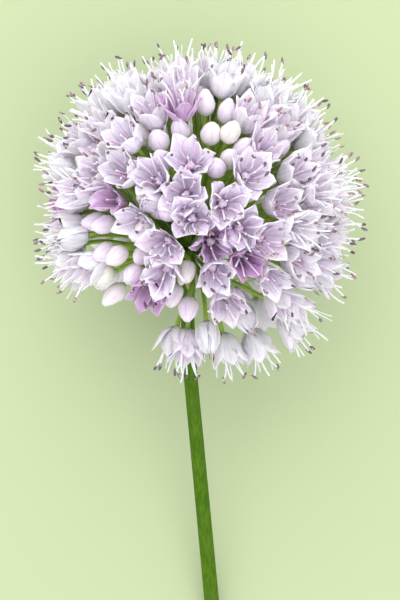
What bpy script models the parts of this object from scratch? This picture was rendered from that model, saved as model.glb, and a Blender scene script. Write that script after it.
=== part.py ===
"""Flower head of a pink ornamental allium, cut with a length of stem and laid on a surface.

Metres, +Z up, surface at z = 0. The stem points towards -Y and the head towards +Y. The origin is on
the surface, under the middle of the whole flower's box. The nodes are the scape, which is the bare
stem with the receptacle that carries the umbel, and twelve cymes, which are the bunches of stalked
florets and buds that make up the ball.
"""

import math
import random

import bmesh
import bpy
import numpy as np
from mathutils import Matrix, Vector

for thing in list(bpy.data.objects):
    bpy.data.objects.remove(thing, do_unlink=True)

# The ball of florets
HEAD_RADIUS = 0.0256  # middle of the ball to the tips of the tepals
HEAD_HEIGHT = 0.0240  # middle of the ball above the surface
HEAD_TILT = math.radians(17.5)  # the flower's axis above level
UMBEL_DROP = 0.0065  # the stalks meet this far below the middle of the ball
UMBEL_ASIDE = -0.0014  # and this far to its side
PLACES = 300  # even places over the ball, all kept where buds are crowded and some elsewhere
OPEN_SHARE = 0.68  # share of the other places that hold an open floret
LOW_SHARE = 0.32  # and below LOW_ANGLE from the flower's axis, where the ball is thin
LOW_ANGLE = math.radians(106)
FLORET_SPREAD = math.radians(150)  # from the top of the ball to its lowest florets
GOLDEN_ANGLE = math.pi * (3 - math.sqrt(5))
OPEN_ROOM = 0.127  # half the space that an open floret keeps to the next, as a share of the radius
BUD_ROOM = 0.078
SETTLING_STEPS = 40
SETTLING_RATE = 0.35  # share of each overlap that one step pushes apart
REACH_SPREAD = 0.0013  # longest and shortest florets beyond and within the mean ball
PRESSED_BAND = 0.0003  # stamens that would go through the surface end in this band above it
PRESSED_DEPTH = 0.002
LAYOUT_SEED = 12

# Cymes
CYMES = 12
CYME_SPREAD = math.radians(120)
WALL_SOFTNESS = 0.10  # share of the distance from the centre over which a cyme yields to the next
WALL_GAP = 0.00016  # least distance of any stalk or tepal from the limit of its own cyme
FLORET_SOFTNESS = 0.1125  # the same two for the middle of a floret, as shares of the distance
FLORET_GAP = 0.045
STEM_CONE = math.radians(30)  # cymes stay out of the cone of this half angle round the stem
RECEPTACLE_RADIUS = 0.0025
SEAT_GAP = 0.0003  # between the receptacle and a cyme's foot
FOOT_HEIGHT = 0.0030
FOOT_RADII = (0.0013, 0.0030)
STALK_ROOT = 0.0052  # stalks start this far from the umbel's centre, inside the foot
ROOT_SPREAD = 0.65  # how far the roots fan out, as a share of the straight way to the florets
ROOT_CIRCLE = 0.0024  # and at most this far from the cyme's axis
STALK_BOW = 0.38  # share of its span over which a stalk keeps its first and its last direction
STALK_RADII = (0.00044, 0.00032)  # at the floret and at the root
STALK_STEPS = 2

# Open florets
TEPAL_LENGTH = 0.0062
MOUTH_RADIUS = 0.0037
THROAT_RADIUS = 0.0011
CUP_DEPTH = 0.0029
NOTCH_DEPTH = 0.0015
STAMEN_REACH = 0.0026  # beyond the tips of the tepals
STAMEN_CIRCLE = 0.0019
OVARY_HEIGHT = 0.0011

# Buds
BUD_LENGTH = 0.0045
BUD_RADIUS = 0.00170
BUD_DEPTH = 0.0036  # the tips of the buds lie this far inside the ball
BUD_RINGS = ((0.30, 0.86), (0.66, 1.0))  # share of the length, share of the radius
# Groups of late buds: angle from the top of the ball, angle round it, and their spread, in degrees.
# The side that faces up as the flower lies is at -90.
BUD_GROUPS = ((66, 48, 24), (100, 150, 18), (112, 10, 14))
RAGGED_EDGE = 0.25  # share of its spread by which the edge of a group comes and goes
STRAY_BUDS = 0.06

# The side that faces up as the flower lies has its own places, for open florets and for buds: to the
# right and towards the top of the head, in shares of their distance from the middle of the ball. A
# place beyond 1 is that much further out.
FACE_RIM = 0.70  # the even places give way within this distance of its middle
BUD_SIDE_RIM = 0.86  # and within this one at the lower left, where a bunch of buds lies
FACE_LOW = -0.35  # and, below LOW_ANGLE, wherever the ball is higher than this over its middle
FACE_OPEN = (
    (-0.05, 0.31), (-0.09, 0.08), (0.18, 0.01), (-0.04, -0.10), (-0.41, -0.07), (-0.32, 0.20),
    (-0.53, 0.24), (0.35, 0.21), (0.34, -0.19), (-0.19, -0.23), (-0.22, -0.45), (0.11, -0.46),
    (0.11, -0.31), (0.33, -0.34), (0.60, 0.02), (0.72, 0.25), (-0.33, -0.60), (0.20, -0.66),
    (0.54, -0.47), (-0.61, 0.07), (0.66, -0.14), (0.69, -0.37), (-0.11, 0.73), (-0.33, 0.68),
    (-0.27, -1.08), (0.07, -0.92), (-0.08, -0.96), (0.36, -0.84), (0.43, -0.98), (0.60, -0.66),
    (0.68, -0.80), (0.17, -1.01), (-0.89, -0.46), (-0.80, -0.43), (-0.94, -0.16), (0.84, -0.20),
    (0.88, -0.44), (0.46, -0.25), (-0.37, 0.01),
)
FACE_BUDS = (
    (-0.48, 0.62), (-0.32, 0.54), (-0.14, 0.64), (0.06, 0.79), (0.23, 0.74), (0.37, 0.79),
    (0.11, 0.59), (0.26, 0.58), (0.27, 0.40), (0.38, 0.48), (0.14, 0.28), (0.52, 0.57),
    (0.71, 0.47), (-0.28, 0.38), (-0.59, 0.52), (0.45, 0.10), (-0.33, -0.03), (-0.22, -0.05),
    (-0.42, -0.19), (-0.76, -0.37), (-0.61, -0.37), (-0.46, -0.41), (-0.50, -0.54), (-0.85, -0.12),
    (-0.77, -0.11), (-0.18, -0.77), (-0.08, -0.85), (-0.06, -0.52), (-0.74, -0.52), (-0.66, -0.68),
    (-0.40, 0.06), (0.25, -0.28),
)

# The scape: distance from the umbel's centre down its axis, then sideways
SCAPE_RADIUS = 0.0013
SCAPE_LINE = ((0, 0), (0.008, -0.0003), (0.0195, 0), (0.034, 0.0012), (0.050, 0.0026), (0.0695, 0.0043))
SCAPE_POINTS = 14
BRACT_LENGTH = 0.0060
BRACT_WIDTHS = (0.0030, 0.0008)  # at the root and at the tip
BRACT_THICKNESS = 0.0007
BRACT_LEAN = math.radians(11)
BRACT_ROOT = (0.00125, 0.0007)  # beside the stem's axis and below the umbel's centre

AXIS = Vector((0, math.cos(HEAD_TILT), math.sin(HEAD_TILT)))
SIDE = Vector((1, 0, 0))
UNDER = AXIS.cross(SIDE)
HEAD_CENTRE = Vector((0, 0, HEAD_HEIGHT))
UMBEL_CENTRE = HEAD_CENTRE - UMBEL_DROP * AXIS + UMBEL_ASIDE * SIDE


def collection(name):
    made = bpy.data.collections.new(name)
    bpy.context.scene.collection.children.link(made)
    return made


def material(name, colour, roughness):
    made = bpy.data.materials.new(name)
    made.use_nodes = True
    shader = made.node_tree.nodes["Principled BSDF"]
    shader.inputs["Base Color"].default_value = (*colour, 1)
    shader.inputs["Roughness"].default_value = roughness
    shader.inputs["Metallic"].default_value = 0
    made.diffuse_color = (*colour, 1)
    return made


def mesh_object(name, bm, home, materials):
    """An object in the collection home, from a bmesh whose faces point to these materials."""
    bmesh.ops.triangulate(bm, faces=bm.faces)
    bmesh.ops.recalc_face_normals(bm, faces=bm.faces)
    mesh = bpy.data.meshes.new(name)
    bm.to_mesh(mesh)
    bm.free()
    for one in materials:
        mesh.materials.append(one)
    made = bpy.data.objects.new(name, mesh)
    home.objects.link(made)
    return made


def join_collection(base, repeats):
    """Unites base with every object of a collection, then removes those objects.

    The solver is MANIFOLD, as EXACT leaves slivers where many tepals cross.
    """
    union = base.modifiers.new("joined", "BOOLEAN")
    union.operation = "UNION"
    union.operand_type = "COLLECTION"
    union.collection = repeats
    union.solver = "MANIFOLD"
    bpy.context.view_layer.update()
    joined = bpy.data.meshes.new_from_object(base.evaluated_get(bpy.context.evaluated_depsgraph_get()))
    base.modifiers.clear()
    base.data = joined
    for piece in list(repeats.objects):
        bpy.data.objects.remove(piece, do_unlink=True)
    bpy.data.collections.remove(repeats)


# ---- Layout: where every floret goes, and which cyme it belongs to


def direction(polar, azimuth):
    """A unit vector at an angle from the flower's axis and an angle round it."""
    across = math.cos(azimuth) * SIDE + math.sin(azimuth) * UNDER
    return math.cos(polar) * AXIS + math.sin(polar) * across


def spiral(index, count, spread):
    """The direction of one of count points spaced evenly over a cap of the sphere."""
    height = 1 - (index + 0.5) / count * (1 - math.cos(spread))
    return direction(math.acos(height), index * GOLDEN_ANGLE)


CYME_AXES = [spiral(index, CYMES, CYME_SPREAD) for index in range(CYMES)]


def cyme_walls(axis):
    """Normals, into the cyme, of the planes through the umbel's centre that part it from all else."""
    walls = [(axis - other).normalized() for other in CYME_AXES if other != axis]
    outward = (axis - axis.dot(AXIS) * AXIS).normalized()
    walls.append(math.cos(STEM_CONE) * outward + math.sin(STEM_CONE) * AXIS)
    return walls


CYME_WALLS = [cyme_walls(axis) for axis in CYME_AXES]


def kept_inside(point, cyme, softness, gap, share=0.0):
    """The point, moved away from the planes that part its cyme from the others.

    The shift dies away inside the cyme and never folds a shape. A point ends at least gap, and at
    least share of its distance from the centre, within each plane.
    """
    arm = point - UMBEL_CENTRE
    distance = arm.length
    least = gap + share * distance
    walls = CYME_WALLS[cyme]
    for wall in walls:
        near = arm.dot(wall)
        soft = softness * distance - least
        if near < softness * distance and soft > 0:
            arm += wall * (least + soft * math.exp((near - softness * distance) / soft) - near)
    for wall in walls + walls:
        arm += wall * max(0, least - arm.dot(wall))
    return UMBEL_CENTRE + arm


def above_surface(point):
    """The point, or one in the thin band over the surface where anything lower is pressed flat."""
    if point.z < PRESSED_BAND:
        point.z = PRESSED_BAND * math.exp((point.z - PRESSED_BAND) / PRESSED_DEPTH)
    return point


def is_bud(way, chance):
    for polar, azimuth, spread in BUD_GROUPS:
        centre = direction(math.radians(polar), math.radians(azimuth))
        edge = math.radians(spread) * (1 + RAGGED_EDGE * (2 * chance - 1))
        if way.angle(centre) < edge:
            return True
    return chance < STRAY_BUDS


def facing_up(right, up):
    """A direction on the side that faces up, from how far it lies to the right and up the head."""
    return Vector((right, up, math.sqrt(max(0, 1 - right * right - up * up)))).normalized()


def in_face(way):
    """Whether the side that faces up has its own places here."""
    low = way.angle(AXIS) > LOW_ANGLE and way.z > FACE_LOW
    rim = BUD_SIDE_RIM if way.x < 0 and way.y < 0 else FACE_RIM
    return way.z > 0 and math.hypot(way.x, way.y) < rim or low


def settled(ways, buds, held):
    """The directions, pushed apart until every floret and bud has about the room that it needs.

    The first ones, as many as held, stay where they are.
    """
    ways = np.array(ways)
    rooms = np.where(buds, BUD_ROOM, OPEN_ROOM)
    free = (np.arange(len(ways)) >= held)[:, None]
    axis = np.array(AXIS)
    lowest = math.cos(FLORET_SPREAD)
    for _ in range(SETTLING_STEPS):
        apart = ways[:, None] - ways[None]
        distance = np.linalg.norm(apart, axis=2)
        np.fill_diagonal(distance, 1)
        push = np.clip(rooms[:, None] + rooms[None] - distance, 0, None) / distance
        np.fill_diagonal(push, 0)
        ways += free * SETTLING_RATE * (apart * push[:, :, None]).sum(axis=1)
        ways += free * np.clip(lowest - ways @ axis, 0, None)[:, None] * axis
        ways /= np.linalg.norm(ways, axis=1)[:, None]
    return [Vector(way) for way in ways]


def floret_places():
    """The cyme, kind, neck and axis of every floret, those that touch the surface lifted onto it."""
    draw = random.Random(LAYOUT_SEED)
    ways = [facing_up(*place) for place in FACE_OPEN + FACE_BUDS]
    buds = [False] * len(FACE_OPEN) + [True] * len(FACE_BUDS)
    stretches = [max(1, math.hypot(*place)) for place in FACE_OPEN + FACE_BUDS]
    held = len(ways)
    for index in range(PLACES):
        way = spiral(index, PLACES, FLORET_SPREAD)
        bud = is_bud(way, draw.random())
        share = LOW_SHARE if way.angle(AXIS) > LOW_ANGLE else OPEN_SHARE
        if (bud or draw.random() < share) and not in_face(way):
            ways.append(way)
            buds.append(bud)
            stretches.append(1)
    places = []
    for way, bud, stretch in zip(settled(ways, buds, held), buds, stretches):
        reach = stretch * HEAD_RADIUS + draw.uniform(-REACH_SPREAD, REACH_SPREAD) - BUD_DEPTH * bud
        spin = draw.uniform(0, math.tau)
        tip = HEAD_CENTRE + reach * way
        cyme = max(range(CYMES), key=lambda one: CYME_AXES[one].dot(tip - UMBEL_CENTRE))
        tip = kept_inside(tip, cyme, FLORET_SOFTNESS, 0, FLORET_GAP)
        way = (tip - HEAD_CENTRE).normalized()
        length, width = (BUD_LENGTH, 0) if bud else (TEPAL_LENGTH, MOUTH_RADIUS)
        lowest = tip.z - width * math.hypot(way.x, way.y)
        neck = tip - length * way + Vector((0, 0, max(0, -lowest)))
        places.append((cyme, "bud" if bud else "open", neck, way, spin))
    return places


# ---- Florets, with the neck at the origin and the mouth towards +Z


def three_sided_neck(bm):
    """Closes every other edge of the six-sided base, so that a three-sided stalk can grow from it."""
    base = min(bm.faces, key=lambda face: face.calc_center_median().z)
    bmesh.ops.collapse(bm, edges=[loop.edge for loop in base.loops][::2])


def open_floret():
    bm = bmesh.new()
    middle = Matrix.Translation((0, 0, TEPAL_LENGTH / 2))
    bmesh.ops.create_cone(
        bm,
        cap_ends=True,
        segments=6,
        radius1=STALK_RADII[0],
        radius2=MOUTH_RADIUS,
        depth=TEPAL_LENGTH,
        matrix=middle,
    )
    cap = max(bm.faces, key=lambda face: face.calc_center_median().z)
    rim = list(cap.edges)
    throat = bmesh.ops.extrude_discrete_faces(bm, faces=[cap])["faces"][0]
    for corner in throat.verts:
        corner.co.xy *= THROAT_RADIUS / MOUTH_RADIUS
        corner.co.z -= CUP_DEPTH
    slices = bmesh.ops.poke(bm, faces=[throat])
    slices["verts"][0].co.z += OVARY_HEIGHT
    for stamen in bmesh.ops.poke(bm, faces=slices["faces"])["verts"]:
        stamen.co.xy = stamen.co.xy.normalized() * STAMEN_CIRCLE
        stamen.co.z = TEPAL_LENGTH + STAMEN_REACH
    notches = bmesh.ops.subdivide_edges(bm, edges=rim, cuts=1)["geom_inner"]
    slope = (MOUTH_RADIUS - STALK_RADII[0]) / TEPAL_LENGTH
    for notch in notches:
        if isinstance(notch, bmesh.types.BMVert):
            notch.co.xy *= 1 - slope * NOTCH_DEPTH / MOUTH_RADIUS
            notch.co.z -= NOTCH_DEPTH
    three_sided_neck(bm)
    return bm


def bud():
    bm = bmesh.new()
    height, width = BUD_RINGS[0]
    first = BUD_LENGTH * height
    bmesh.ops.create_cone(
        bm,
        cap_ends=True,
        segments=6,
        radius1=STALK_RADII[0],
        radius2=BUD_RADIUS * width,
        depth=first,
        matrix=Matrix.Translation((0, 0, first / 2)),
    )
    cap = max(bm.faces, key=lambda face: face.calc_center_median().z)
    for height, widest in BUD_RINGS[1:]:
        cap = bmesh.ops.extrude_discrete_faces(bm, faces=[cap])["faces"][0]
        for corner in cap.verts:
            corner.co.xy *= widest / width
            corner.co.z = BUD_LENGTH * height
    point = bmesh.ops.poke(bm, faces=[cap])["verts"][0]
    point.co.z = BUD_LENGTH
    three_sided_neck(bm)
    return bm


# ---- Stalks and cymes


def stalk_line(cyme, neck, way):
    """Points and directions down a curved stalk, from a floret's neck to its root in the cyme's foot."""
    axis = CYME_AXES[cyme]
    out = neck - UMBEL_CENTRE
    aside = STALK_ROOT * ROOT_SPREAD * (out / out.dot(axis) - axis)
    aside *= ROOT_CIRCLE / max(ROOT_CIRCLE, aside.length)
    root = UMBEL_CENTRE + STALK_ROOT * axis + aside
    span = (neck - root).length
    first = root + STALK_BOW * span * (root - UMBEL_CENTRE).normalized()
    second = neck - STALK_BOW * span * way
    line = []
    for step in range(1, STALK_STEPS + 1):
        t = 1 - step / STALK_STEPS
        near, far = root.lerp(first, t), second.lerp(neck, t)
        middle = first.lerp(second, t)
        along = middle.lerp(far, t) - near.lerp(middle, t)
        line.append((near.lerp(middle, t) + t * along, along.normalized()))
    return line


def stalked_floret(name, place, home, materials):
    """One floret or bud on its stalk, as an object of the cyme's collection."""
    cyme, kind, neck, way, spin = place
    bm = bud() if kind == "bud" else open_floret()
    for face in bm.faces:
        face.material_index = 1
    turn = way.to_track_quat("Z", "Y").to_matrix().to_4x4()
    bm.transform(Matrix.Translation(neck) @ turn @ Matrix.Rotation(spin, 4, "Z"))
    base = min(bm.faces, key=lambda face: (face.calc_center_median() - neck).length)
    here, heading = neck, way
    for point, along in stalk_line(cyme, neck, way):
        old = set(bm.faces)
        base = bmesh.ops.extrude_discrete_faces(bm, faces=[base])["faces"][0]
        swing = heading.rotation_difference(along)
        slimmer = (STALK_RADII[1] / STALK_RADII[0]) ** (1 / STALK_STEPS)
        for corner in base.verts:
            corner.co = point + slimmer * (swing @ (corner.co - here))
        here, heading = point, along
        for face in set(bm.faces) - old:
            face.material_index = 0
    for corner in bm.verts:
        corner.co = above_surface(kept_inside(corner.co, cyme, WALL_SOFTNESS, WALL_GAP))
    return mesh_object(name, bm, home, materials)


def cyme_foot(name, cyme, home, materials):
    """The six-sided base that a cyme's stalks grow from, just clear of the receptacle."""
    bm = bmesh.new()
    low = RECEPTACLE_RADIUS + SEAT_GAP
    turn = CYME_AXES[cyme].to_track_quat("Z", "Y").to_matrix().to_4x4()
    middle = UMBEL_CENTRE + (low + FOOT_HEIGHT / 2) * CYME_AXES[cyme]
    bmesh.ops.create_cone(
        bm,
        cap_ends=True,
        segments=6,
        radius1=FOOT_RADII[0],
        radius2=FOOT_RADII[1],
        depth=FOOT_HEIGHT,
        matrix=Matrix.Translation(middle) @ turn,
    )
    for corner in bm.verts:
        corner.co = kept_inside(corner.co, cyme, WALL_SOFTNESS, WALL_GAP)
    return mesh_object(name, bm, home, materials)


def build_cyme(cyme, places, home, materials):
    foot = cyme_foot(f"cyme_{cyme + 1:02d}", cyme, home, materials)
    repeats = collection("florets of one cyme")
    for index, place in enumerate(places):
        if place[0] == cyme:
            stalked_floret(f"floret_{index}", place, repeats, materials)
    join_collection(foot, repeats)
    return foot


# ---- The scape


def scape_point(down, aside):
    return UMBEL_CENTRE - down * AXIS + aside * SIDE


def smooth_point(t):
    """A point of the Catmull-Rom curve through SCAPE_LINE, with t from 0 to 1."""
    last = len(SCAPE_LINE) - 1
    at = min(t * last, last - 1e-9)
    i = int(at)
    f = at - i
    a, b, c, d = (Vector(SCAPE_LINE[min(max(i + k, 0), last)]) for k in (-1, 0, 1, 2))
    flat = 0.5 * (2 * b + (c - a) * f + (2 * a - 5 * b + 4 * c - d) * f * f + (3 * b - a - 3 * c + d) * f**3)
    return scape_point(*flat)


def build_scape(home, green):
    """A round stem that swells into the ball that carries the umbel, with two small papery bracts."""
    curve = bpy.data.curves.new("scape", "CURVE")
    curve.dimensions = "3D"
    curve.bevel_depth = SCAPE_RADIUS
    curve.bevel_resolution = 1
    curve.use_fill_caps = True
    spline = curve.splines.new("POLY")
    spline.points.add(SCAPE_POINTS - 1)
    for index, point in enumerate(spline.points):
        point.co = (*smooth_point(index / (SCAPE_POINTS - 1)), 1)
    guide = bpy.data.objects.new("scape line", curve)
    home.objects.link(guide)
    bpy.context.view_layer.update()
    mesh = bpy.data.meshes.new_from_object(guide.evaluated_get(bpy.context.evaluated_depsgraph_get()))
    bpy.data.objects.remove(guide, do_unlink=True)
    bm = bmesh.new()
    bm.from_mesh(mesh)
    bmesh.ops.remove_doubles(bm, verts=bm.verts, dist=1e-6)
    for corner in bm.verts:
        corner.co.z = max(0, corner.co.z)
    scape = mesh_object("scape", bm, home, [green])

    swelling = collection("receptacle and bracts")
    bm = bmesh.new()
    upright = Matrix.Rotation(-math.pi / 2, 4, "X")
    bmesh.ops.create_uvsphere(bm, u_segments=12, v_segments=8, radius=RECEPTACLE_RADIUS, matrix=upright)
    bmesh.ops.translate(bm, verts=bm.verts, vec=UMBEL_CENTRE)
    mesh_object("receptacle", bm, swelling, [green])
    for side in (-1, 1):
        bm = bmesh.new()
        wide, narrow = (width / 2 for width in BRACT_WIDTHS)
        stand = Matrix.Translation((0, 0, BRACT_LENGTH / 2))
        bmesh.ops.create_cone(
            bm, cap_ends=True, segments=6, radius1=wide, radius2=narrow, depth=BRACT_LENGTH, matrix=stand
        )
        flat = Matrix.Scale(BRACT_THICKNESS / BRACT_WIDTHS[0], 4, (1, 0, 0))
        lean = Matrix.Rotation(side * BRACT_LEAN, 4, "Y")
        root = Matrix.Translation((side * BRACT_ROOT[0], 0, BRACT_ROOT[1]))
        turn = (-AXIS).to_track_quat("Z", "X").to_matrix().to_4x4()
        bm.transform(Matrix.Translation(UMBEL_CENTRE) @ turn @ root @ lean @ flat)
        mesh_object(f"bract_{side}", bm, swelling, [green])
    join_collection(scape, swelling)
    return scape


def stand_over_origin(nodes):
    """Shifts every mesh so that the whole stands on z = 0 with the middle of its box over the origin."""
    corners = [vertex.co for node in nodes for vertex in node.data.vertices]
    low, high = (Vector([end(corner[k] for corner in corners) for k in range(3)]) for end in (min, max))
    middle = (low + high) / 2
    for node in nodes:
        node.data.transform(Matrix.Translation((-middle.x, -middle.y, -low.z)))
        node.data.shade_smooth()
        node.data.set_sharp_from_angle(angle=math.radians(35))


flower = collection("allium flower head")
stalk_green = material("stalk", (0.24, 0.42, 0.12), 0.5)
scape_green = material("scape", (0.13, 0.26, 0.12), 0.5)
tepal_lilac = material("tepal", (0.78, 0.66, 0.83), 0.55)
layout = floret_places()
pieces = [build_scape(flower, scape_green)]
for number in range(CYMES):
    pieces.append(build_cyme(number, layout, flower, [stalk_green, tepal_lilac]))
stand_over_origin(pieces)
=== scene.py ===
import math
import random

import bmesh
import bpy
import numpy as np
from mathutils import Matrix, Vector


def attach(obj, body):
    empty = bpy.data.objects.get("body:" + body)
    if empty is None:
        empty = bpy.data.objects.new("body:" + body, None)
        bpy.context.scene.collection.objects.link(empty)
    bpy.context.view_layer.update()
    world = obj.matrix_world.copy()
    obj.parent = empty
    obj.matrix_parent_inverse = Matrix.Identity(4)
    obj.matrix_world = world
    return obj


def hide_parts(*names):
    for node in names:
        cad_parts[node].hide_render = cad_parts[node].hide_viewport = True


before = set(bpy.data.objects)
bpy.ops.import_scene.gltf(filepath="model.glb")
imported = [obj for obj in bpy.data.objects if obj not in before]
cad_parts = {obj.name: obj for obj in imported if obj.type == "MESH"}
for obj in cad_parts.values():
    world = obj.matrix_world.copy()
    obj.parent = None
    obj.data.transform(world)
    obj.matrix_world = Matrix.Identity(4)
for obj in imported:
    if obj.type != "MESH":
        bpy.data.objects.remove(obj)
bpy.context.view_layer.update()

# ---- Camera
# It looks straight down on the flower as it lies, with the head towards the top of the picture
# and the stem running off at the bottom.

CAMERA_HEIGHT = 0.40
CAMERA_TOWARDS_HEAD = 0.0072
FOCUS_HEIGHT = 0.024  # the middle of the head
SEEN_LENGTH = 0.0995  # of the flower, at that height
SENSOR = 36

camera = bpy.data.objects.new("camera", bpy.data.cameras.new("camera"))
bpy.context.scene.collection.objects.link(camera)
camera.location = (0, CAMERA_TOWARDS_HEAD, CAMERA_HEIGHT)
camera.data.sensor_width = SENSOR
camera.data.lens = SENSOR * (CAMERA_HEIGHT - FOCUS_HEIGHT) / SEEN_LENGTH
camera.data.clip_start = 0.01
bpy.context.scene.camera = camera

# ---- Studio
# A plain pale surface that the cut flower lies on, a large soft lamp beyond the head, a weaker one
# on the near side, and an even pale surround.

FLOOR_SIZE = 4
FLOOR_COLOURS = (0.46, 0.55, 0.31), (0.40, 0.48, 0.27)
FLOOR_MOTTLING = 0.08
LAMPS_AIM = Vector((0, 0.01, FOCUS_HEIGHT))
LAMPS = (  # name, place, width, watts, colour
    ("key", (-0.08, 0.36, 0.34), 0.65, 1.7, (1.0, 0.98, 1.0)),
    ("fill", (0.14, -0.16, 0.45), 0.50, 0.6, (0.99, 0.98, 1.0)),
)
SURROUND = (0.965, 0.96, 1.0)
SURROUND_STRENGTH = 1.18


def only(piece):
    """Deselects everything, then selects this piece and makes it the active one."""
    bpy.ops.object.select_all(action="DESELECT")
    piece.select_set(True)
    bpy.context.view_layer.objects.active = piece


class Number:
    """A number that a material works out at each point, so that sums on it are written as sums."""

    def __init__(self, paint, socket):
        self.paint = paint
        self.socket = socket

    def __add__(self, other):
        return self.paint.sum("ADD", self, other)

    __radd__ = __add__

    def __sub__(self, other):
        return self.paint.sum("SUBTRACT", self, other)

    def __rsub__(self, other):
        return self.paint.sum("SUBTRACT", other, self)

    def __mul__(self, other):
        return self.paint.sum("MULTIPLY", self, other)

    __rmul__ = __mul__

    def __abs__(self):
        return self.paint.sum("ABSOLUTE", self)

    def wave(self):
        return self.paint.sum("SINE", self)

    def between(self, low, high):
        """0 below low, 1 above high and a smooth step from one to the other."""
        setting = {"interpolation_type": "SMOOTHSTEP"}
        values = {"Value": self, "From Min": low, "From Max": high}
        return self.paint.node("MapRange", setting, values)


class Paint:
    """A material as it is mixed: node() adds a node and gives its output back."""

    def __init__(self, name, **constants):
        self.material = bpy.data.materials.new(name)
        self.material.use_nodes = True
        self.tree = self.material.node_tree
        self.shader = self.tree.nodes["Principled BSDF"]
        for socket, value in constants.items():
            self.shader.inputs[socket.replace("_", " ")].default_value = value

    def node(self, kind, settings, values, output=0):
        made = self.tree.nodes.new("ShaderNode" + kind)
        for setting, value in settings.items():
            setattr(made, setting, value)
        for socket, value in values.items():
            self.feed(made.inputs[socket], value)
        return Number(self, made.outputs[output])

    def feed(self, socket, value):
        if isinstance(value, Number):
            self.tree.links.new(value.socket, socket)
        elif socket.type == "RGBA":
            socket.default_value = (*value, 1)
        else:
            socket.default_value = value

    def sum(self, operation, *values):
        return self.node("Math", {"operation": operation}, dict(enumerate(values)))

    def place(self):
        """The point that is painted, in the flower's own frame."""
        return self.node("TexCoord", {}, {}, output="Object")

    def told(self, name, output):
        """What was written into the mesh under this name."""
        return self.node("Attribute", {"attribute_name": name}, {}, output)

    def part(self, vector, axis):
        return self.node("SeparateXYZ", {}, {"Vector": vector}, axis)

    def distance(self, place, centre):
        return self.node("VectorMath", {"operation": "DISTANCE"}, {0: place, 1: centre}, output=1)

    def noise(self, place, scale, detail):
        values = {"Scale": scale, "Detail": detail}
        if place:
            values["Vector"] = place
        return self.node("TexNoise", {}, values)

    def relief(self, height, depth, strength):
        return self.node("Bump", {}, {"Strength": strength, "Distance": depth, "Height": height})

    def mixed(self, share, first, second):
        """The first colour, or the second where the share is 1."""
        return self.node("Mix", {"data_type": "RGBA"}, {0: share, 6: first, 7: second}, output=2)

    def wears(self, **sockets):
        for socket, value in sockets.items():
            self.feed(self.shader.inputs[socket.replace("_", " ")], value)
        return self.material


only(camera)
bpy.ops.mesh.primitive_plane_add(size=FLOOR_SIZE)
floor = bpy.context.object
floor.name = "surface"
floor_paint = Paint("matt surface", Roughness=0.85)
floor_grain = floor_paint.noise(None, 40, 3)
floor_paint.wears(Base_Color=floor_paint.mixed(floor_grain * FLOOR_MOTTLING, *FLOOR_COLOURS))
floor.data.materials.append(floor_paint.material)

for name, place, width, watts, colour in LAMPS:
    lamp = bpy.data.objects.new(name, bpy.data.lights.new(name, "AREA"))
    bpy.context.scene.collection.objects.link(lamp)
    lamp.location = place
    lamp.rotation_euler = (LAMPS_AIM - lamp.location).to_track_quat("-Z", "Y").to_euler()
    lamp.data.size = width
    lamp.data.energy = watts
    lamp.data.color = colour
bpy.context.scene.world = bpy.data.worlds.new("surround")
bpy.context.scene.world.use_nodes = True
sky = bpy.context.scene.world.node_tree.nodes["Background"]
sky.inputs["Color"].default_value = (*SURROUND, 1)
sky.inputs["Strength"].default_value = SURROUND_STRENGTH
bpy.context.scene.view_settings.view_transform = "Standard"

# ---- Scape
# The bare round stem of the flower, solid green flesh under a faint waxy bloom, with fine ribs. It
# was cut square at its foot and swells at its top into the receptacle, where every stalk is rooted.

HEAD_TILT = math.radians(17.5)  # the flower's axis above level
AXIS = Vector((0, math.cos(HEAD_TILT), math.sin(HEAD_TILT)))
SIDE = Vector((1, 0, 0))
UNDER = AXIS.cross(SIDE)
RECEPTACLE_RADIUS = 0.0025
RECEPTACLE_SHOULDER = -0.6  # along the axis, in radii, where it starts to narrow
RECEPTACLE_TAPER = 0.72
RECEPTACLE_STRETCH = 0.0009
RECEPTACLE_BUMPS = 0.00008
STEM_TOP = max((vertex.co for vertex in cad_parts["scape"].data.vertices), key=lambda co: co.y)
UMBEL_CENTRE = STEM_TOP - Vector((0, RECEPTACLE_RADIUS, 0))
# The stem's middle line: distance from the umbel's centre down its axis, then sideways
SCAPE_LINE = ((0, 0), (0.008, -0.0003), (0.0195, 0), (0.034, 0.0012), (0.050, 0.0026), (0.0695, 0.0043))
SCAPE_STEPS = 56
SCAPE_RADII = (0.00108, 0.00130)  # under the head and at the cut
RIBS = 9
RIB_POINTS = 4  # round the stem, from one groove to the next
RIB_DEPTH = 0.035  # as a share of the radius
CUT_RIM = 0.00018
CUT_HOLLOW = 0.00012
CUT_REACH = 1e-5  # faces this close to the foot's plane are the cut
SAME_POINT = 1e-6
PRESSED_BAND = 0.0003  # what would go through the surface ends in this band above it
PRESSED_DEPTH = 0.002
STEM_GREENS = (0.046, 0.118, 0.002), (0.078, 0.178, 0.004)
STEM_BLOOM = (0.10, 0.19, 0.015)


def edit():
    bpy.ops.object.mode_set(mode="EDIT")


def leave():
    bpy.ops.object.mode_set(mode="OBJECT")


def scale(x, y, z):
    """In edit mode, scales what is selected about the origin."""
    bpy.ops.transform.resize(value=(x, y, z), center_override=(0, 0, 0))


def shift(x, y, z):
    bpy.ops.transform.translate(value=(x, y, z))


def choose(test):
    """In edit mode, selects the vertices for which test(vertex) says yes, and the faces they make."""
    bpy.ops.mesh.select_all(action="DESELECT")
    shape = bmesh.from_edit_mesh(bpy.context.edit_object.data)
    for vertex in shape.verts:
        if test(vertex):
            vertex.select = True
    shape.select_flush(True)
    bmesh.update_edit_mesh(bpy.context.edit_object.data)


def choose_all():
    bpy.ops.mesh.select_all(action="SELECT")


def above_surface(point):
    """The point, or one in the thin band over the surface where anything lower is pressed flat."""
    if point.z < PRESSED_BAND:
        point.z = PRESSED_BAND * math.exp((point.z - PRESSED_BAND) / PRESSED_DEPTH)
    return point


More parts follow.
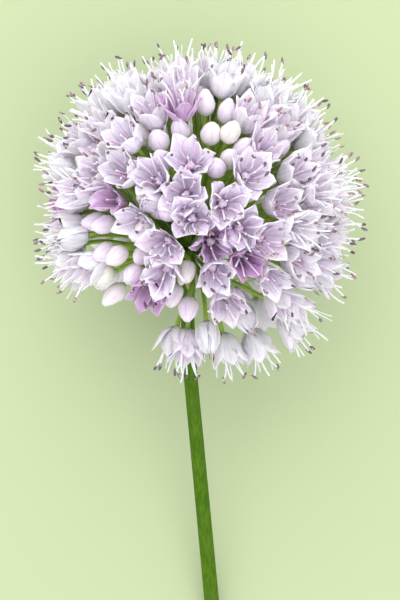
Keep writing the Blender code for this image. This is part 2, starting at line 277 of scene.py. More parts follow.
def turn_into_tube():
    """Makes a mesh of the curve in hand, with its end caps merged to its wall, and stays in edit mode."""
    bpy.ops.object.convert(target="MESH")
    edit()
    choose_all()
    bpy.ops.mesh.remove_doubles(threshold=SAME_POINT)
    bpy.ops.mesh.normals_make_consistent(inside=False)


def discard(pieces):
    """Deletes pieces that were only there to make others from."""
    for piece in pieces:
        bpy.data.objects.remove(piece, do_unlink=True)


def stem_point(t):
    """A point of the Catmull-Rom curve through SCAPE_LINE, with t from 0 to 1."""
    last = len(SCAPE_LINE) - 1
    at = min(t * last, last - 1e-9)
    i = int(at)
    f = at - i
    a, b, c, d = (Vector(SCAPE_LINE[min(max(i + k, 0), last)]) for k in (-1, 0, 1, 2))
    square = 2 * a - 5 * b + 4 * c - d
    cube = 3 * b - a - 3 * c + d
    down, aside = 0.5 * (2 * b + (c - a) * f + square * f * f + cube * f**3)
    return UMBEL_CENTRE - down * AXIS + aside * SIDE


bpy.context.tool_settings.mesh_select_mode = (True, False, False)
bpy.ops.mesh.primitive_circle_add(vertices=RIB_POINTS * RIBS, radius=1)
outline = bpy.context.object
edit()
choose(lambda vertex: vertex.index % RIB_POINTS == 0)
scale(1 - RIB_DEPTH, 1 - RIB_DEPTH, 1)
leave()
bpy.ops.object.convert(target="CURVE")
outline = bpy.context.object

stem_curve = bpy.data.curves.new("scape", "CURVE")
stem_curve.dimensions = "3D"
stem_curve.bevel_mode = "OBJECT"
stem_curve.bevel_object = outline
stem_curve.use_fill_caps = True
stem_line = stem_curve.splines.new("POLY")
stem_line.points.add(SCAPE_STEPS)
for index, point in enumerate(stem_line.points):
    t = index / SCAPE_STEPS
    point.co = (*stem_point(t), 1)
    point.radius = SCAPE_RADII[0] * (1 - t) + SCAPE_RADII[1] * t
scape = bpy.data.objects.new("scape_stem", stem_curve)
bpy.context.scene.collection.objects.link(scape)
only(scape)
turn_into_tube()
foot = stem_point(1)
foot_way = (foot - stem_point(1 - 1 / SCAPE_STEPS)).normalized()
bpy.context.tool_settings.mesh_select_mode = (False, False, True)
bpy.ops.mesh.select_all(action="DESELECT")
cut = bmesh.from_edit_mesh(scape.data)
for face in cut.faces:
    face.select_set((face.calc_center_median() - foot).dot(foot_way) > -CUT_REACH)
bmesh.update_edit_mesh(scape.data)
bpy.ops.mesh.dissolve_faces()
bpy.ops.mesh.inset(thickness=CUT_RIM)
bpy.ops.mesh.extrude_region_shrink_fatten(TRANSFORM_OT_shrink_fatten={"value": -CUT_HOLLOW})
bpy.context.tool_settings.mesh_select_mode = (True, False, False)
leave()
discard([outline])
for vertex in scape.data.vertices:
    vertex.co = above_surface(vertex.co)

bpy.ops.mesh.primitive_ico_sphere_add(subdivisions=4, radius=RECEPTACLE_RADIUS, location=UMBEL_CENTRE)
receptacle = bpy.context.object
receptacle.name = "scape_receptacle"
edit()
choose(lambda vertex: vertex.co.dot(AXIS) < RECEPTACLE_SHOULDER * RECEPTACLE_RADIUS)
low_end = UMBEL_CENTRE - RECEPTACLE_RADIUS * AXIS
bpy.ops.transform.resize(value=(RECEPTACLE_TAPER,) * 3, center_override=low_end)
shift(*-RECEPTACLE_STRETCH * AXIS)
choose_all()
bpy.ops.transform.vertex_random(offset=RECEPTACLE_BUMPS, normal=1, seed=3)
leave()
bpy.ops.object.transform_apply()

stem_paint = Paint(
    "scape flesh",
    Roughness=0.5,
    Specular_IOR_Level=0.12,
    Subsurface_Weight=0.08,
    Subsurface_Radius=(0.3, 0.6, 0.1),
    Subsurface_Scale=0.001,
)
place = stem_paint.place()
drawn_out = {"Vector": place, "Rotation": (-HEAD_TILT, 0, 0), "Scale": (1, 0.03, 1)}
streaks = stem_paint.noise(stem_paint.node("Mapping", {}, drawn_out), 2600, 4)
bloom = stem_paint.noise(place, 260, 3)
flesh = stem_paint.mixed(streaks.between(0.35, 0.7), *STEM_GREENS)
flesh = stem_paint.mixed(bloom.between(0.45, 0.75) * 0.3, flesh, STEM_BLOOM)
relief = stem_paint.relief(streaks, depth=0.00008, strength=0.35)
stem_paint.wears(Base_Color=flesh, Roughness=0.42 + 0.2 * bloom, Normal=relief)
for piece in (scape, receptacle):
    only(piece)
    bpy.ops.object.shade_smooth_by_angle(angle=math.radians(40))
    piece.data.materials.clear()
    piece.data.materials.append(stem_paint.material)
    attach(piece, "root")
    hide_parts("scape")

# ---- Bracts
# Two small papery valves, left from the sheath that wrapped the buds. They are dry, thin as tissue
# and fixed to the stem just under the umbel, where they lie back along it.

BRACT_LENGTH = 0.0060
BRACT_HALF_WIDTHS = (0.0010, 0.0015, 0.00155, 0.0014, 0.0012, 0.0009, 0.00055, 0.0002)
BRACT_TROUGH = ((0, 1), (1, 0.5), (2, 0.12), (4, 0.12), (5, 0.5), (6, 1))  # column, share of the depth
BRACT_DEPTH = 11 / 15  # of the trough, in shares of the row's half width
BRACT_LEAN = math.radians(9)
BRACT_ROOT = (0.00120, 0.0007)  # beside the stem's axis and below the umbel's centre
BRACT_THICKNESS = 0.00008
BRACT_CRUMPLE = 0.00012
BRACT_VEINS = 9
BRACT_TISSUE = (0.62, 0.56, 0.42)
BRACT_VEIN = (0.36, 0.26, 0.17)
BRACT_MOTTLE = (0.45, 0.36, 0.30)


def row_of(vertex, columns):
    """The row of a grid's vertex, counted from its foot."""
    return vertex.index // (columns + 1)


def model_sheet(trough, half_widths, depths, length):
    """A grid that stands on the origin, hollow along its middle. It stays in edit mode."""
    columns = trough[-1][0]
    rows = len(half_widths) - 1
    bpy.ops.mesh.primitive_grid_add(x_subdivisions=columns, y_subdivisions=rows, size=1)
    edit()
    for column, lift in trough:
        choose(lambda vertex: vertex.index % (columns + 1) == column)
        shift(0, 0, lift)
    for row in range(rows + 1):
        choose(lambda vertex: row_of(vertex, columns) == row)
        scale(2 * half_widths[row], 1, depths[row])
    choose_all()
    shift(0, 0.5, 0)
    scale(1, length, 1)
    return bpy.context.object


bract_paint = Paint("dry sheath", Roughness=0.7, Subsurface_Weight=0.3, Subsurface_Scale=0.0006)
across_bract = bract_paint.part(bract_paint.node("UVMap", {}, {}), "X")
veins = (across_bract * (math.tau * BRACT_VEINS)).wave().between(0.2, 1)
mottle = bract_paint.noise(None, 900, 4)
tissue = bract_paint.mixed(veins * 0.5, BRACT_TISSUE, BRACT_VEIN)
tissue = bract_paint.mixed(mottle.between(0.5, 0.8) * 0.5, tissue, BRACT_MOTTLE)
bract_paint.wears(Base_Color=tissue, Normal=bract_paint.relief(veins, depth=0.00006, strength=0.4))

for side in (-1, 1):
    depths = [BRACT_DEPTH * half_width for half_width in BRACT_HALF_WIDTHS]
    bract = model_sheet(BRACT_TROUGH, BRACT_HALF_WIDTHS, depths, BRACT_LENGTH)
    bract.name = "bract_left" if side < 0 else "bract_right"
    bpy.ops.transform.vertex_random(offset=BRACT_CRUMPLE, normal=0.6, seed=4 + side)
    leave()
    turn = (-AXIS).to_track_quat("Z", "X").to_matrix().to_4x4()
    stand = Matrix.Rotation(math.pi / 2, 4, "X")
    face_stem = Matrix.Rotation(side * math.pi / 2, 4, "Z")
    lean = Matrix.Rotation(side * BRACT_LEAN, 4, "Y")
    root = Matrix.Translation((side * BRACT_ROOT[0], 0, BRACT_ROOT[1]))
    bract.data.transform(Matrix.Translation(UMBEL_CENTRE) @ turn @ root @ lean @ face_stem @ stand)
    thick = bract.modifiers.new("thickness", "SOLIDIFY")
    thick.thickness = BRACT_THICKNESS
    bpy.ops.object.modifier_apply(modifier=thick.name)
    bpy.ops.object.shade_smooth()
    bract.data.materials.append(bract_paint.material)
    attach(bract, "root")
    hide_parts("scape")

# ---- Stalks
# The pedicels, thin and juicy green, one under each floret and bud. They are rooted side by side in
# the receptacle, fan out through twelve bunches, and thicken a little under the flower.

HEAD_RADIUS = 0.0256  # middle of the ball to the tips of the tepals
UMBEL_DROP = 0.0065  # the stalks meet this far below the middle of the ball
UMBEL_ASIDE = -0.0014
HEAD_CENTRE = UMBEL_CENTRE + UMBEL_DROP * AXIS - UMBEL_ASIDE * SIDE
PLACES = 300  # on the spiral, of which these shares hold an open floret
OPEN_SHARE = 0.68
LOW_SHARE = 0.32  # further than the next angle from the flower's axis
LOW_ANGLE = math.radians(106)
FLORET_SPREAD = math.radians(150)
GOLDEN_ANGLE = math.pi * (3 - math.sqrt(5))
OPEN_ROOM = 0.127  # half the way to the next one, on a ball of radius 1
BUD_ROOM = 0.078
SETTLING_STEPS = 40
SETTLING_RATE = 0.35
REACH_SPREAD = 0.0013
LAYOUT_SEED = 12
CYMES = 12
CYME_SPREAD = math.radians(120)
WALL_SOFTNESS = 0.045  # in shares of the distance from the umbel's centre
WALL_GAP = 0.00016
LAP = -0.0007  # the gap where all but the stalks reach in among the next cyme's
FLORET_SOFTNESS = 0.1125  # in such shares too
FLORET_GAP = 0.045
STEM_CONE = math.radians(30)  # kept clear round the stem
TEPAL_LENGTH = 0.0062
MOUTH_RADIUS = 0.0037
BUD_LENGTH = 0.0045
BUD_DEPTH = 0.0036
BUD_GROUPS = ((66, 48, 24), (100, 150, 18), (112, 10, 14))  # from the axis, round it, radius in degrees
RAGGED_EDGE = 0.25
STRAY_BUDS = 0.06
# The side that faces up has its own places: to the right and towards the top of the head, in shares
# of their distance from the middle of the ball, and for an open floret how far it is open. A place
# beyond 1 is that much further out
FACE_RIM = 0.70
BUD_SIDE_RIM = 0.86
FACE_LOW = -0.35
FACE_OPEN = (
    (-0.05, 0.31, "star"), (-0.09, 0.08, "star"), (0.18, 0.01, "star"), (-0.04, -0.10, "star"),
    (-0.41, -0.07, "star"), (-0.32, 0.20, "bell"), (-0.53, 0.24, "bell"), (0.35, 0.21, "star"),
    (0.34, -0.19, "star"), (-0.19, -0.23, "star"), (-0.22, -0.45, "star"), (0.11, -0.46, "bell"),
    (0.11, -0.31, "fading star"), (0.33, -0.34, "fading bell"), (0.60, 0.02, "bell"), (0.72, 0.25, "bell"),
    (-0.33, -0.60, "fading bell"), (0.20, -0.66, "bell"), (0.54, -0.47, "bell"), (-0.61, 0.07, "old"),
    (0.66, -0.14, "bell"), (0.69, -0.37, "bell"), (-0.11, 0.73, "fading star"), (-0.33, 0.68, "bell"),
    (-0.27, -1.08, "star"), (0.07, -0.92, "opening"), (-0.08, -0.96, "bell"), (0.36, -0.84, "opening"),
    (0.43, -0.98, "bell"), (0.60, -0.66, "bell"), (0.68, -0.80, "bell"), (0.17, -1.01, "bell"),
    (-0.89, -0.46, "bell"), (-0.80, -0.43, "bell"), (-0.94, -0.16, "bell"), (0.84, -0.20, "bell"),
    (0.88, -0.44, "bell"), (0.46, -0.25, "star"), (-0.37, 0.01, "opening"),
)
FACE_BUDS = (
    (-0.48, 0.62), (-0.32, 0.54), (-0.14, 0.64), (0.06, 0.79), (0.23, 0.74), (0.37, 0.79),
    (0.11, 0.59), (0.26, 0.58), (0.27, 0.40), (0.38, 0.48), (0.14, 0.28), (0.52, 0.57),
    (0.71, 0.47), (-0.28, 0.38), (-0.59, 0.52), (0.45, 0.10), (-0.33, -0.03), (-0.22, -0.05),
    (-0.42, -0.19), (-0.76, -0.37), (-0.61, -0.37), (-0.46, -0.41), (-0.50, -0.54), (-0.85, -0.12),
    (-0.77, -0.11), (-0.18, -0.77), (-0.08, -0.85), (-0.06, -0.52), (-0.74, -0.52), (-0.66, -0.68),
    (-0.40, 0.06), (0.25, -0.28),
)
STALK_ROOT = 0.0052
ROOT_SPREAD = 0.65
ROOT_CIRCLE = 0.0024
STALK_BOW = 0.38
STALK_START = 0.0022  # inside the receptacle's skin
STALK_RADII = (0.00022, 0.00029, 0.00040)  # at the receptacle, where the stalks part, and at the floret
STALK_STEPS = 9
STALK_HANDLE = 0.3  # of the part inside the receptacle
STALK_OVERLAP = 0.0002  # inside the floret's neck
# The first green is painted shade deep in the ball; the second is a lit yellow-green out by the florets.
STALK_SHADED_AND_LIT_GREENS = (0.10, 0.20, 0.02), (0.30, 0.46, 0.055)
STALK_FLECK = (0.42, 0.56, 0.16)


def direction(polar, azimuth):
    """A unit vector at an angle from the flower's axis and an angle round it."""
    across = math.cos(azimuth) * SIDE + math.sin(azimuth) * UNDER
    return math.cos(polar) * AXIS + math.sin(polar) * across


def spiral(index, count, spread):
    """The direction of one of count points spaced evenly over a cap of the sphere."""
    height = 1 - (index + 0.5) / count * (1 - math.cos(spread))
    return direction(math.acos(height), index * GOLDEN_ANGLE)


CYME_AXES = [spiral(index, CYMES, CYME_SPREAD) for index in range(CYMES)]


def cyme_walls(axis):
    """Normals, into the cyme, of the planes through the umbel's centre that part it from all else."""
    walls = [(axis - other).normalized() for other in CYME_AXES if other != axis]
    outward = (axis - axis.dot(AXIS) * AXIS).normalized()
    walls.append(math.cos(STEM_CONE) * outward + math.sin(STEM_CONE) * AXIS)
    return walls


CYME_WALLS = [cyme_walls(axis) for axis in CYME_AXES]


def kept_inside(point, cyme, softness, gap, share=0.0):
    """The point, moved away from the planes that part its cyme from the others."""
    arm = point - UMBEL_CENTRE
    distance = arm.length
    least = gap + share * distance
    walls = CYME_WALLS[cyme]
    for wall in walls:
        near = arm.dot(wall)
        soft = softness * distance - least
        if near < softness * distance and soft > 0:
            arm += wall * (least + soft * math.exp((near - softness * distance) / soft) - near)
    for wall in walls + walls:
        arm += wall * max(0, least - arm.dot(wall))
    return UMBEL_CENTRE + arm


def is_bud(way, chance):
    """Whether a bud grows here: in one of the groups, or alone where the chance is small."""
    for polar, azimuth, spread in BUD_GROUPS:
        centre = direction(math.radians(polar), math.radians(azimuth))
        edge = math.radians(spread) * (1 + RAGGED_EDGE * (2 * chance - 1))
        if way.angle(centre) < edge:
            return True
    return chance < STRAY_BUDS


def facing_up(right, up):
    """A direction on the side that faces up, from how far it lies to the right and up the head."""
    return Vector((right, up, math.sqrt(max(0, 1 - right * right - up * up)))).normalized()


def in_face(way):
    """Whether the side that faces up has its own places here."""
    low = way.angle(AXIS) > LOW_ANGLE and way.z > FACE_LOW
    rim = BUD_SIDE_RIM if way.x < 0 and way.y < 0 else FACE_RIM
    return way.z > 0 and math.hypot(way.x, way.y) < rim or low


def settled(ways, buds, held):
    """The directions, pushed apart until every floret and bud has about the room that it needs.

    The first ones, as many as held, stay where they are.
    """
    ways = np.array(ways)
    rooms = np.where(buds, BUD_ROOM, OPEN_ROOM)
    free = (np.arange(len(ways)) >= held)[:, None]
    axis = np.array(AXIS)
    lowest = math.cos(FLORET_SPREAD)
    for _ in range(SETTLING_STEPS):
        apart = ways[:, None] - ways[None]
        distance = np.linalg.norm(apart, axis=2)
        np.fill_diagonal(distance, 1)
        push = np.clip(rooms[:, None] + rooms[None] - distance, 0, None) / distance
        np.fill_diagonal(push, 0)
        ways += free * SETTLING_RATE * (apart * push[:, :, None]).sum(axis=1)
        ways += free * np.clip(lowest - ways @ axis, 0, None)[:, None] * axis
        ways /= np.linalg.norm(ways, axis=1)[:, None]
    return [Vector(way) for way in ways]


def floret_places():
    """The cyme, form, neck, axis and turn of every floret, those that touch the surface lifted onto it."""
    draw = random.Random(LAYOUT_SEED)
    ways = [facing_up(*place[:2]) for place in FACE_OPEN + FACE_BUDS]
    forms = [form for right, up, form in FACE_OPEN] + ["bud"] * len(FACE_BUDS)
    stretches = [max(1, math.hypot(*place[:2])) for place in FACE_OPEN + FACE_BUDS]
    held = len(ways)
    for index in range(PLACES):
        way = spiral(index, PLACES, FLORET_SPREAD)
        bud = is_bud(way, draw.random())
        share = LOW_SHARE if way.angle(AXIS) > LOW_ANGLE else OPEN_SHARE
        if (bud or draw.random() < share) and not in_face(way):
            ways.append(way)
            forms.append("bud" if bud else "any")
            stretches.append(1)
    places = []
    buds = [form == "bud" for form in forms]
    for way, bud, form, stretch in zip(settled(ways, buds, held), buds, forms, stretches):
        reach = stretch * HEAD_RADIUS + draw.uniform(-REACH_SPREAD, REACH_SPREAD) - BUD_DEPTH * bud
        spin = draw.uniform(0, math.tau)
        tip = HEAD_CENTRE + reach * way
        cyme = max(range(CYMES), key=lambda one: CYME_AXES[one].dot(tip - UMBEL_CENTRE))
        tip = kept_inside(tip, cyme, FLORET_SOFTNESS, 0, FLORET_GAP)
        way = (tip - HEAD_CENTRE).normalized()
        length, width = (BUD_LENGTH, 0) if bud else (TEPAL_LENGTH, MOUTH_RADIUS)
        lowest = tip.z - width * math.hypot(way.x, way.y)
        neck = tip - length * way + Vector((0, 0, max(0, -lowest)))
        places.append((cyme, form, neck, way, spin))
    return places


PLACED = floret_places()


def kept_in_cyme(piece, cyme, gap=WALL_GAP):
    """Moves a mesh's points clear of the neighbouring cymes and of the surface."""
    for vertex in piece.data.vertices:
        vertex.co = above_surface(kept_inside(vertex.co, cyme, WALL_SOFTNESS, gap))


def joined(pieces, name):
    """One piece from several that are made of the same thing."""
    only(pieces[0])
    for piece in pieces:
        piece.select_set(True)
    bpy.ops.object.join()
    whole = bpy.context.object
    whole.name = name
    whole.data.name = name
    return whole


def tell(piece, facts):
    """Writes three numbers about its floret into every point of a mesh, for the material to read."""
    made = piece.data.attributes.new("floret", "FLOAT_VECTOR", "POINT")
    made.data.foreach_set("vector", list(facts) * len(piece.data.vertices))


def tube(stops, roundness, steps):
    """A curved tube through stops, each a point, the ends of its two handles, and a radius."""
    bpy.ops.curve.primitive_bezier_curve_add()
    piece = bpy.context.object
    piece.data.bevel_depth = 1
    piece.data.bevel_resolution = roundness
    piece.data.use_fill_caps = True
    piece.data.resolution_u = steps
    line = piece.data.splines[0]
    line.bezier_points.add(len(stops) - len(line.bezier_points))
    for stop, (point, before, after, radius) in zip(line.bezier_points, stops):
        stop.handle_left_type = stop.handle_right_type = "FREE"
        stop.co = point
        stop.handle_left = before
        stop.handle_right = after
        stop.radius = radius
    turn_into_tube()
    leave()
    return piece


def add_stalk(cyme, neck, way):
    """A curved stalk from the receptacle to a floret's neck."""
    axis = CYME_AXES[cyme]
    out = neck - UMBEL_CENTRE
    aside = STALK_ROOT * ROOT_SPREAD * (out / out.dot(axis) - axis)
    aside *= ROOT_CIRCLE / max(ROOT_CIRCLE, aside.length)
    root = UMBEL_CENTRE + STALK_ROOT * axis + aside
    heading = (root - UMBEL_CENTRE).normalized()
    start = UMBEL_CENTRE + STALK_START * heading
    near = STALK_HANDLE * (root - start).length * heading
    bow = STALK_BOW * (neck - root).length
    end = neck + STALK_OVERLAP * way
    stops = (
        (start, start - near, start + near, STALK_RADII[0]),
        (root, root - near, root + bow * heading, STALK_RADII[1]),
        (end, end - bow * way, end + near.length * way, STALK_RADII[2]),
    )
    stalk = tube(stops, 1, STALK_STEPS)
    kept_in_cyme(stalk, cyme)
    return stalk


stalk_paint = Paint(
    "stalk flesh",
    Roughness=0.42,
    Specular_IOR_Level=0.4,
    Subsurface_Weight=0.25,
    Subsurface_Radius=(0.5, 1.0, 0.15),
    Subsurface_Scale=0.0008,
)
stalk_place = stalk_paint.place()
from_root = stalk_paint.distance(stalk_place, UMBEL_CENTRE)
stalk_grain = stalk_paint.noise(stalk_place, 700, 3)
# Painted shade and light: darker green near the receptacle, deep in the ball, and brighter further out.
green = stalk_paint.mixed(from_root.between(0.003, 0.016), *STALK_SHADED_AND_LIT_GREENS)
green = stalk_paint.mixed(stalk_grain.between(0.4, 0.8) * 0.5, green, STALK_FLECK)
stalk_relief = stalk_paint.relief(stalk_grain, depth=0.00005, strength=0.25)
stalk_paint.wears(Base_Color=green, Normal=stalk_relief)

for cyme in range(CYMES):
    stalks = [add_stalk(cyme, neck, way) for owner, form, neck, way, spin in PLACED if owner == cyme]
    bunch = joined(stalks, f"cyme_{cyme + 1:02d}_stalks")
    bpy.ops.object.shade_smooth()
    bunch.data.materials.append(stalk_paint.material)
    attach(bunch, "root")
    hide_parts(f"cyme_{cyme + 1:02d}")

# ---- Tepals
# Each open floret is a cup of six soft, thin, translucent tepals, three outer and broader, three
# inner, all grown together at the base. They are pale lilac, with a purple midvein and white edges.
# Light is painted into that colour as well: whole florets paler round the rim and towards the crown,
# painted shade deepening the throats and the creases, and painted highlight whitening the edges.

TEPALS = 6
TEPAL_COLUMNS = 4
TEPAL_TROUGH = ((0, 1.0), (1, 0.2), (3, 0.2), (4, 1.0))  # column, share of the row's depth
OUTER_TEPAL = (0.00050, 0.00115, 0.00162, 0.00186, 0.00172, 0.00108, 0.00012)  # half widths
INNER_TEPAL = (0.00045, 0.00102, 0.00145, 0.00166, 0.00155, 0.00102, 0.00014)
FADING_TEPAL = (0.00046, 0.00098, 0.00132, 0.00142, 0.00120, 0.00072, 0.00010)
WITHERED_TEPAL = (0.00042, 0.00085, 0.00110, 0.00115, 0.00100, 0.00065, 0.00010)
TROUGH_DEPTHS = (0.00028, 0.00045, 0.00062, 0.00064, 0.00048, 0.00024, 0)
# Angle of the tepal from the floret's axis over each sixth of its length, in degrees
STAR = (62, 42, 27, 22, 26, 40)
BELL = (62, 34, 18, 12, 16, 28)
OPENING = (58, 20, 0, -14, -28, -34)
WITHERED = (50, 24, 12, 12, 20, 34)
TEPAL_BASES = (0.00042, 0.00030)  # of the outer and the inner ones, from the floret's axis
INNER_UPRIGHT = 3  # degrees
INNER_LENGTH = 0.97
TEPAL_THICKNESS = 0.00013
# How much the tepals of one floret differ, each times the number in its row below
TWIST = 6  # degrees
LEAN = 4  # degrees
STRETCH = 0.04
CRUMPLE = 0.00012
CRUMPLED_ABOVE = 0.3 * TEPAL_LENGTH
RUFFLE = 0.00036  # how far the margins wander in and out
RUFFLED_ABOVE = 0.4 * TEPAL_LENGTH
PERIANTHS = (  # flare, outer and inner widths, length, how much the six tepals differ, seed
    (STAR, OUTER_TEPAL, INNER_TEPAL, 0.0066, 1.4, 1),
    (STAR, OUTER_TEPAL, INNER_TEPAL, 0.0064, 1.8, 2),
    (STAR, OUTER_TEPAL, INNER_TEPAL, 0.0067, 1.2, 3),
    (STAR, OUTER_TEPAL, INNER_TEPAL, 0.0065, 2.0, 4),
    (BELL, OUTER_TEPAL, INNER_TEPAL, 0.0070, 0.8, 5),
    (BELL, OUTER_TEPAL, INNER_TEPAL, 0.0068, 1.0, 6),
    (BELL, OUTER_TEPAL, INNER_TEPAL, 0.0071, 1.2, 7),
    (OPENING, OUTER_TEPAL, INNER_TEPAL, 0.0066, 0.6, 8),
    (WITHERED, WITHERED_TEPAL, WITHERED_TEPAL, 0.0062, 2.2, 9),
    (WITHERED, WITHERED_TEPAL, WITHERED_TEPAL, 0.0059, 2.6, 10),
    (STAR, FADING_TEPAL, FADING_TEPAL, 0.0064, 2.2, 11),
)
FORMS = {  # rows of the table above
    "star": (0, 1, 2, 3),
    "bell": (4, 5, 6),
    "opening": (7,),
    "old": (8, 9),
    "fading star": (10,),
    "fading bell": (4, 5, 6),
}
OPEN_FORMS = ("star", "bell", "opening", "old")
OPEN_CHANCES = (0.5, 0.38, 0.09)  # of all of them but the old ones
OLD_CHANCE = 0.03  # only on the sides and the underside
OLD_BELOW = 0.35
FRESH_AGE, FADING_AGES, OLD_AGES = 0.2, (0.55, 0.8), (0.7, 1)
# How pale each floret is painted. This is mostly painted light: florets round the rim, lit through their
# tepals, and those towards the crown, on the key lamp's side, are painted paler, and those that face up less
# pale. PALLOR_CHANCE adds a random difference that is the florets' own.
PAINTED_LIGHT_PALLOR = 0.85  # at the rim of the side that faces up
PAINTED_LIGHT_LOST = 0.75  # in its middle
PAINTED_LIGHT_GAINED = 0.2  # towards the crown
PALLOR_CHANCE = 0.15
SIDE_VEINS = 6
# The second colour is painted light: the near-white that lit florets are painted in.
TEPAL_LILAC_AND_LIT_WHITE = (0.93, 0.855, 0.985), (0.945, 0.94, 0.985)
# Deeper lilac at the foot of the cup's inner face: partly the floret's own colour, partly painted shade in
# the cup.
TEPAL_THROAT_AND_SHADE = (0.80, 0.66, 0.88)
TEPAL_BLUSH = (0.74, 0.48, 0.74)
# Painted shade: a deeper lilac laid along the crumple pattern, as shade in the tepals' creases.
TEPAL_CREASE_SHADE = (0.84, 0.70, 0.91)
TEPAL_VEIN = (0.52, 0.36, 0.64)
TEPAL_FLECK = (0.60, 0.44, 0.68)
# White edges: partly the tepals' own paler margins, partly painted highlight on their rolled rims.
TEPAL_MARGIN_AND_HIGHLIGHT = (0.95, 0.935, 0.96)
TEPAL_MIDVEIN = (0.40, 0.16, 0.46)
TEPAL_FOOT = (0.55, 0.55, 0.36)
OLD_COLOURS_AND_THROAT_SHADE = (0.48, 0.18, 0.50), (0.14, 0.02, 0.12)
OLD_MARGIN_AND_HIGHLIGHT = (0.62, 0.42, 0.60)


def model_tepal(flare, half_widths, length, base):
    """One tepal, a sheet that stands on the floret's base and leans out from its axis."""
    tepal = model_sheet(TEPAL_TROUGH, half_widths, TROUGH_DEPTHS, length)
    lifted = 0
    for row, angle in enumerate(flare):
        choose(lambda vertex: row_of(vertex, TEPAL_COLUMNS) >= row)
        shape = bmesh.from_edit_mesh(tepal.data)
        shape.verts.ensure_lookup_table()
        hinge = shape.verts[row * (TEPAL_COLUMNS + 1) + TEPAL_COLUMNS // 2].co.copy()
        lift = math.radians(90 - angle)
        bpy.ops.transform.rotate(value=lifted - lift, orient_axis="X", center_override=hinge)
        lifted = lift
    choose_all()
    shift(0, base, 0)
    leave()
    return tepal


def copy_of(piece):
    """A copy with its own mesh."""
    twin = piece.copy()
    twin.data = piece.data.copy()
    bpy.context.scene.collection.objects.link(twin)
    return twin


def standing(neck, way, spin):
    """The place of a floret from its neck, its axis and its turn about it."""
    stand = way.to_track_quat("Z", "Y").to_matrix().to_4x4()
    return Matrix.Translation(neck) @ stand @ Matrix.Rotation(spin, 4, "Z")


def put(master, at, cyme, facts=None):
    """A copy in its floret's place, with what its material has to know."""
    part = copy_of(master)
    part.data.transform(at)
    kept_in_cyme(part, cyme, LAP)
    if facts:
        tell(part, facts)
    return part


def model_perianth(number):
    """Six tepals round a floret's axis, no two quite alike, given their thickness."""
    flare, outer, inner, length, unlike, seed = PERIANTHS[number]
    draw = random.Random(seed)
    inner_flare = [angle - INNER_UPRIGHT for angle in flare]
    masters = (
        model_tepal(flare, outer, length, TEPAL_BASES[0]),
        model_tepal(inner_flare, inner, INNER_LENGTH * length, TEPAL_BASES[1]),
    )
    tepals = []
    for index in range(TEPALS):
        tepal = copy_of(masters[index % 2])
        twist = Matrix.Rotation(math.radians(draw.uniform(-TWIST, TWIST) * unlike), 4, "Y")
        lean = Matrix.Rotation(math.radians(draw.uniform(-LEAN, LEAN) * unlike), 4, "X")
        long = Matrix.Scale(1 + STRETCH * draw.uniform(-1, 1) * unlike, 4, (0, 0, 1))
        tepal.data.transform(Matrix.Rotation(index * math.tau / TEPALS, 4, "Z") @ lean @ long @ twist)
        tepals.append(tepal)
    perianth = joined(tepals, f"perianth_{number}")
    edit()
    choose(lambda vertex: vertex.co.z > CRUMPLED_ABOVE)
    bpy.ops.transform.vertex_random(offset=CRUMPLE * unlike, normal=0.7, seed=seed)
    edges = (0, TEPAL_COLUMNS)
    choose(lambda vertex: vertex.index % (TEPAL_COLUMNS + 1) in edges and vertex.co.z > RUFFLED_ABOVE)
    bpy.ops.transform.vertex_random(offset=RUFFLE, normal=0.2, seed=seed + 20)
    leave()
    points = len(perianth.data.vertices)
    thick = perianth.modifiers.new("thickness", "SOLIDIFY")
    thick.thickness = TEPAL_THICKNESS
    bpy.ops.object.modifier_apply(modifier=thick.name)
    inner = perianth.data.attributes.new("inner face", "FLOAT", "POINT")
    inner.data.foreach_set("value", [1.0] * points + [0.0] * (len(perianth.data.vertices) - points))
    bpy.ops.object.shade_smooth()
    discard(masters)
    return perianth


tepal_paint = Paint(
    "tepal",
    Roughness=0.5,
    Specular_IOR_Level=0.3,
    Subsurface_Weight=0.4,
    Subsurface_Radius=(1.0, 0.8, 1.0),
    Subsurface_Scale=0.0012,
)
tepal_map = tepal_paint.node("UVMap", {}, {})
tepal_u, tepal_v = (tepal_paint.part(tepal_map, axis) for axis in "XY")
told = tepal_paint.told("floret", "Vector")
age, hue, lit_pallor = (tepal_paint.part(told, axis) for axis in "XYZ")
inside = tepal_paint.told("inner face", "Fac")
tepal_place = tepal_paint.place()
flecks = tepal_paint.noise(tepal_place, 1400, 4)
cloud = tepal_paint.noise(tepal_place, 420, 2)
crumple = tepal_paint.noise(tepal_place, 900, 2)
off_middle = abs(tepal_u - 0.5) * 2
midvein = (1 - off_middle.between(0.02, 0.15)) * tepal_v.between(0.05, 0.35)
side_veins = (tepal_u * (math.tau * SIDE_VEINS)).wave().between(0.1, 1) * (1 - tepal_v.between(0.6, 1))
# The margins' white: partly their own colour, partly painted highlight on the rolled edges.
margin_and_highlight = off_middle.between(0.70, 1) * (0.45 + 0.55 * cloud.between(0.35, 0.65))
# The foot of each cup's inner face, where its deeper colour and painted shade go.
throat_and_shade = (1 - tepal_v.between(0.1, 0.62)) * inside
# Painted light: on florets painted pale with light, the marks below show less.
unlit_share = 1 - lit_pallor * 0.7
# Painted light: each floret is mixed from lilac towards near-white by how pale it is painted.
colour = tepal_paint.mixed(lit_pallor, *TEPAL_LILAC_AND_LIT_WHITE)
colour = tepal_paint.mixed(throat_and_shade * unlit_share * 0.25, colour, TEPAL_THROAT_AND_SHADE)
colour = tepal_paint.mixed(cloud.between(0.4, 0.75) * hue * unlit_share * 0.5, colour, TEPAL_BLUSH)
